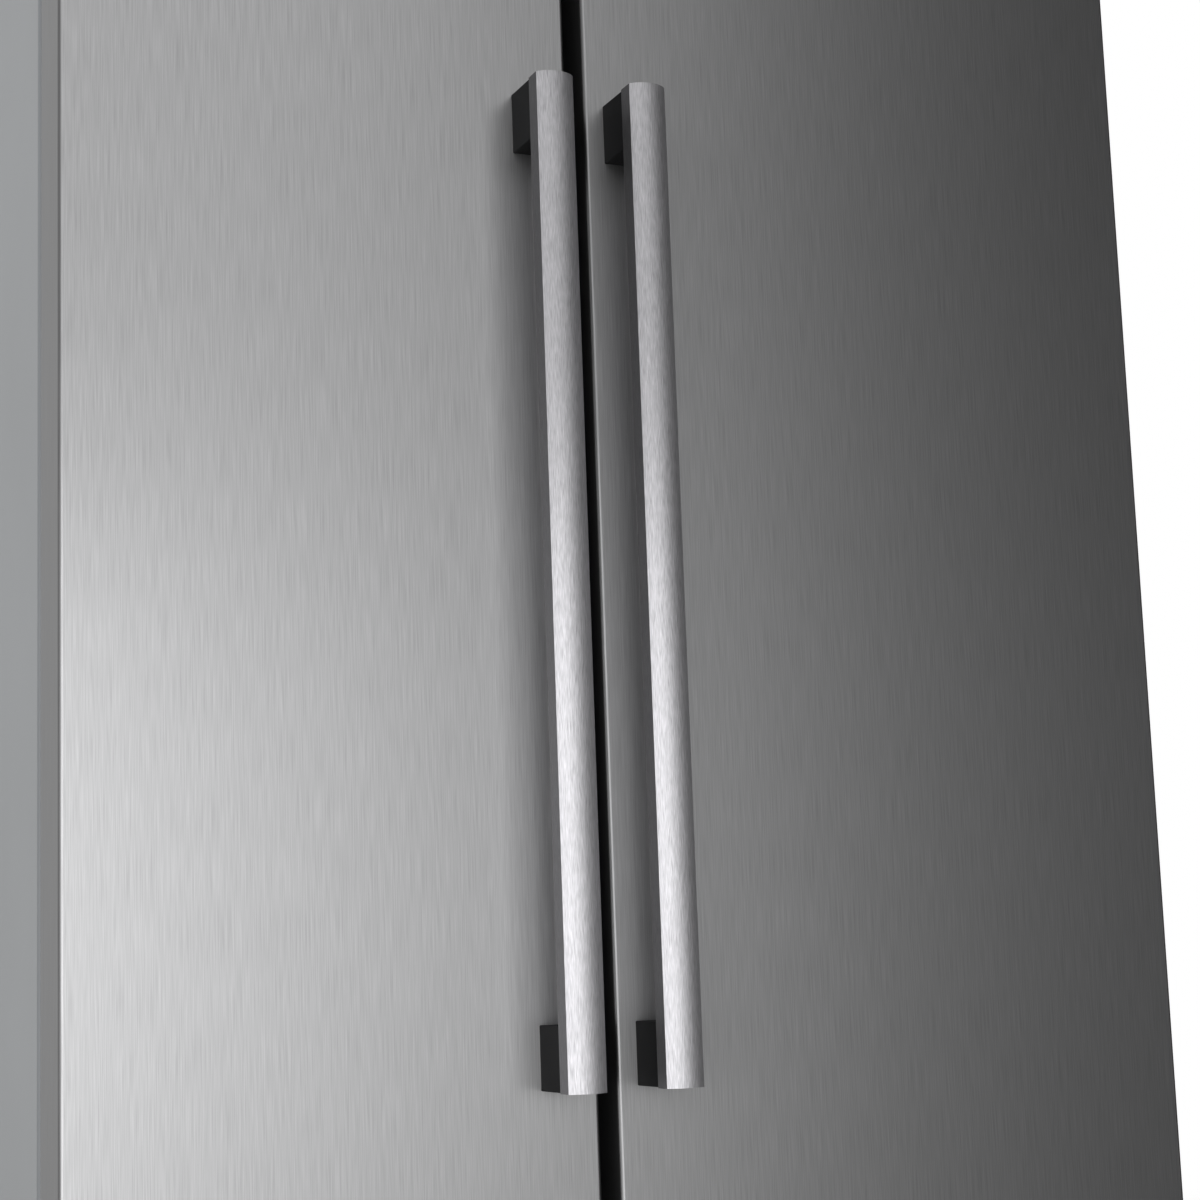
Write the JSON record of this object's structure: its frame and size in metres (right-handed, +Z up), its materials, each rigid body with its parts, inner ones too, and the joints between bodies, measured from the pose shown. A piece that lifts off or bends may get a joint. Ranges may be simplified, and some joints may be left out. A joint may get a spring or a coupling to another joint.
{
  "type": "fridge freezer",
  "caption": "Side-by-side fridge freezer with full-height brushed steel doors, upright bar handles, shelves, drawers and door bins.",
  "frame": {"origin": "on the floor, under the middle of the appliance", "axes": "+X to the right seen from the front, +Y into the depth, +Z up"},
  "size_m": [0.91, 0.7333, 1.78],
  "materials": {
    "air_duct": "white moulded polystyrene",
    "back_panel": "zinc plated steel",
    "base_frame": "zinc plated steel",
    "cabinet_foam": "rigid polyurethane foam",
    "compressor": "black enamel",
    "condenser_coil": "black enamel",
    "condenser_fan": "near-black moulded plastic",
    "condenser_fan_motor": "zinc plated steel",
    "control_panel": "white moulded polystyrene",
    "dairy_lid": "clear moulded polystyrene",
    "drip_tray": "near-black moulded plastic",
    "evaporator_coil": "bare aluminium fins and tube",
    "evaporator_cover": "white moulded polystyrene",
    "evaporator_fan": "light grey moulded plastic",
    "evaporator_fan_motor": "zinc plated steel",
    "fast_freeze_button": "blue moulded plastic",
    "freezer_door_bins": "clear moulded polystyrene",
    "freezer_door_caps": "near-black moulded plastic",
    "freezer_door_foam": "rigid polyurethane foam",
    "freezer_door_gasket": "soft black magnetic seal",
    "freezer_door_liner": "white moulded polystyrene",
    "freezer_door_skin": "brushed stainless steel",
    "freezer_handle_bar": "brushed aluminium extrusion",
    "freezer_handle_lower_bracket": "near-black moulded plastic",
    "freezer_handle_upper_bracket": "near-black moulded plastic",
    "freezer_liner": "white moulded polystyrene",
    "freezer_shelf_glass": "toughened glass",
    "fridge_door_bins": "clear moulded polystyrene",
    "fridge_door_caps": "near-black moulded plastic",
    "fridge_door_foam": "rigid polyurethane foam",
    "fridge_door_gasket": "soft black magnetic seal",
    "fridge_door_liner": "white moulded polystyrene",
    "fridge_door_skin": "brushed stainless steel",
    "fridge_handle_bar": "brushed aluminium extrusion",
    "fridge_handle_lower_bracket": "near-black moulded plastic",
    "fridge_handle_upper_bracket": "near-black moulded plastic",
    "fridge_liner": "white moulded polystyrene",
    "fridge_shelf_glass": "toughened glass",
    "front_frame": "grey painted steel, fine texture",
    "hinge_covers": "near-black moulded plastic",
    "hinge_screws": "zinc plated steel",
    "kick_grille": "near-black moulded plastic",
    "lamp_lenses": "frosted lens",
    "left_foot": "near-black moulded plastic",
    "left_roller": "black nylon",
    "left_side_panel": "grey painted steel, fine texture",
    "lower_crisper": "clear moulded polystyrene",
    "lower_freezer_drawer": "clear moulded polystyrene",
    "lower_hinges": "zinc plated steel",
    "machine_cover": "zinc plated steel",
    "power_inlet": "near-black moulded plastic",
    "right_foot": "near-black moulded plastic",
    "right_roller": "black nylon",
    "right_side_panel": "grey painted steel, fine texture",
    "shelf_trims": "white moulded plastic",
    "thermostat_knob": "light grey moulded plastic",
    "top_panel": "grey painted steel, fine texture",
    "upper_crisper": "clear moulded polystyrene",
    "upper_freezer_drawer": "clear moulded polystyrene",
    "upper_hinges": "zinc plated steel"
  },
  "bodies": {
    "cabinet": {"left_side_panel": "left_side_panel", "right_side_panel": "right_side_panel", "top_panel": "top_panel", "back_panel": "back_panel", "front_frame": "front_frame", "cabinet_foam": "cabinet_foam", "fridge_liner": "fridge_liner", "freezer_liner": "freezer_liner", "base_frame": "base_frame", "kick_grille": "kick_grille", "machine_cover": "machine_cover", "power_inlet": "power_inlet", "compressor": "compressor", "condenser_coil": "condenser_coil", "drip_tray": "drip_tray", "condenser_fan_motor": "condenser_fan_motor", "evaporator_cover": "evaporator_cover", "evaporator_fan_motor": "evaporator_fan_motor", "evaporator_coil": "evaporator_coil", "air_duct": "air_duct", "control_panel": "control_panel", "lamp_lenses": "lamp_lenses", "fridge_shelf_glass": "fridge_shelf_glass", "freezer_shelf_glass": "freezer_shelf_glass", "shelf_trims": "shelf_trims", "upper_hinges": "upper_hinges", "lower_hinges": "lower_hinges", "hinge_screws": "hinge_screws", "hinge_covers": "hinge_covers"},
    "freezer_door": {"freezer_door_skin": "freezer_door_skin", "freezer_door_foam": "freezer_door_foam", "freezer_door_liner": "freezer_door_liner", "freezer_door_caps": "freezer_door_caps", "freezer_door_gasket": "freezer_door_gasket", "freezer_handle_bar": "freezer_handle_bar", "freezer_handle_lower_bracket": "freezer_handle_lower_bracket", "freezer_handle_upper_bracket": "freezer_handle_upper_bracket", "freezer_door_bins": "freezer_door_bins"},
    "fridge_door": {"fridge_door_skin": "fridge_door_skin", "fridge_door_foam": "fridge_door_foam", "fridge_door_liner": "fridge_door_liner", "fridge_door_caps": "fridge_door_caps", "fridge_door_gasket": "fridge_door_gasket", "fridge_handle_bar": "fridge_handle_bar", "fridge_handle_lower_bracket": "fridge_handle_lower_bracket", "fridge_handle_upper_bracket": "fridge_handle_upper_bracket", "fridge_door_bins": "fridge_door_bins"},
    "dairy_lid": {"dairy_lid": "dairy_lid"},
    "upper_crisper": {"upper_crisper": "upper_crisper"},
    "lower_crisper": {"lower_crisper": "lower_crisper"},
    "upper_freezer_drawer": {"upper_freezer_drawer": "upper_freezer_drawer"},
    "lower_freezer_drawer": {"lower_freezer_drawer": "lower_freezer_drawer"},
    "thermostat_knob": {"thermostat_knob": "thermostat_knob"},
    "fast_freeze_button": {"fast_freeze_button": "fast_freeze_button"},
    "evaporator_fan": {"evaporator_fan": "evaporator_fan"},
    "condenser_fan": {"condenser_fan": "condenser_fan"},
    "left_foot": {"left_foot": "left_foot"},
    "right_foot": {"right_foot": "right_foot"},
    "left_roller": {"left_roller": "left_roller"},
    "right_roller": {"right_roller": "right_roller"}
  },
  "joints": [
    {"name": "fridge_door_hinge", "type": "hinge", "parent": "cabinet", "child": "fridge_door", "pos_m": [0.437, -0.28532, 0.092], "axis": [0, 0, 1], "range_deg": [0, 130]},
    {"name": "freezer_door_hinge", "type": "hinge", "parent": "cabinet", "child": "freezer_door", "pos_m": [-0.437, -0.28532, 0.092], "axis": [0, 0, -1], "range_deg": [0, 130]},
    {"name": "dairy_lid_hinge", "type": "hinge", "parent": "fridge_door", "child": "dairy_lid", "pos_m": [0.185, -0.23983, 1.379], "axis": [1, 0, 0], "range_deg": [0, 85]},
    {"name": "upper_crisper_slide", "type": "slide", "parent": "cabinet", "child": "upper_crisper", "axis": [0, -1, 0], "range_m": [0, 0.24]},
    {"name": "lower_crisper_slide", "type": "slide", "parent": "cabinet", "child": "lower_crisper", "axis": [0, -1, 0], "range_m": [0, 0.135]},
    {"name": "upper_freezer_drawer_slide", "type": "slide", "parent": "cabinet", "child": "upper_freezer_drawer", "axis": [0, -1, 0], "range_m": [0, 0.24]},
    {"name": "lower_freezer_drawer_slide", "type": "slide", "parent": "cabinet", "child": "lower_freezer_drawer", "axis": [0, -1, 0], "range_m": [0, 0.135]},
    {"name": "thermostat_turn", "type": "hinge", "parent": "cabinet", "child": "thermostat_knob", "pos_m": [0.125, -0.10433, 1.676], "axis": [0, 1, 0], "range_deg": [0, 280]},
    {"name": "fast_freeze_press", "type": "slide", "parent": "cabinet", "child": "fast_freeze_button", "axis": [0, 1, 0], "range_m": [0, 0.0015], "stiffness_N_per_m": 300},
    {"name": "evaporator_fan_spin", "type": "hinge", "parent": "cabinet", "child": "evaporator_fan", "pos_m": [-0.24, 0.26, 0.88], "axis": [0, 1, 0], "continuous": true},
    {"name": "condenser_fan_spin", "type": "hinge", "parent": "cabinet", "child": "condenser_fan", "pos_m": [0.066, 0.26517, 0.1175], "axis": [1, 0, 0], "continuous": true},
    {"name": "left_roller_spin", "type": "hinge", "parent": "cabinet", "child": "left_roller", "pos_m": [-0.4372, 0.29668, 0.02], "axis": [1, 0, 0], "continuous": true},
    {"name": "left_foot_screw", "type": "hinge", "parent": "cabinet", "child": "left_foot", "pos_m": [-0.4372, -0.19632, 0], "axis": [0, 0, 1], "continuous": true},
    {"name": "right_roller_spin", "type": "hinge", "parent": "cabinet", "child": "right_roller", "pos_m": [0.4372, 0.29668, 0.02], "axis": [1, 0, 0], "continuous": true},
    {"name": "right_foot_screw", "type": "hinge", "parent": "cabinet", "child": "right_foot", "pos_m": [0.4372, -0.19632, 0], "axis": [0, 0, 1], "continuous": true}
  ],
  "couplings": [
    {"joint": "upper_crisper_slide", "follows": "fridge_door_hinge", "m_per_rad": 0.1036},
    {"joint": "lower_crisper_slide", "follows": "fridge_door_hinge", "m_per_rad": 0.057},
    {"joint": "upper_freezer_drawer_slide", "follows": "freezer_door_hinge", "m_per_rad": 0.1036},
    {"joint": "lower_freezer_drawer_slide", "follows": "freezer_door_hinge", "m_per_rad": 0.057}
  ]
}
